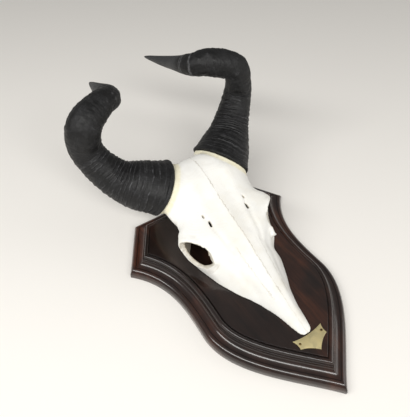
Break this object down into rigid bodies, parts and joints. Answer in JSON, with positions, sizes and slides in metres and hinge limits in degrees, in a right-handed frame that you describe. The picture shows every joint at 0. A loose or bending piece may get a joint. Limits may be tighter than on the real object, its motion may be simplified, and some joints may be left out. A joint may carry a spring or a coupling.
{
  "type": "hartebeest skull on shield",
  "caption": "Bleached antelope skull with ringed, hooked black horns, fixed on a dark moulded wooden wall shield with a small blank brass plate near its point.",
  "frame": {"origin": "on the shield's flat back, at the middle of its widest line", "axes": "+Z leaves the shield's face, +Y points from the shield's tip to the horns, +X to the right of someone who faces the shield with its tip down"},
  "size_m": [0.324, 0.615, 0.2377],
  "materials": {
    "shield_wood": "gloss",
    "bone": "matt",
    "horn": "satin",
    "brass": "satin"
  },
  "bodies": {
    "root": {"shield": "shield_wood", "skull": "bone", "horn_left": "horn", "horn_right": "horn", "name_plate": "brass", "plate_pin_left": "brass", "plate_pin_right": "brass"}
  },
  "joints": []
}
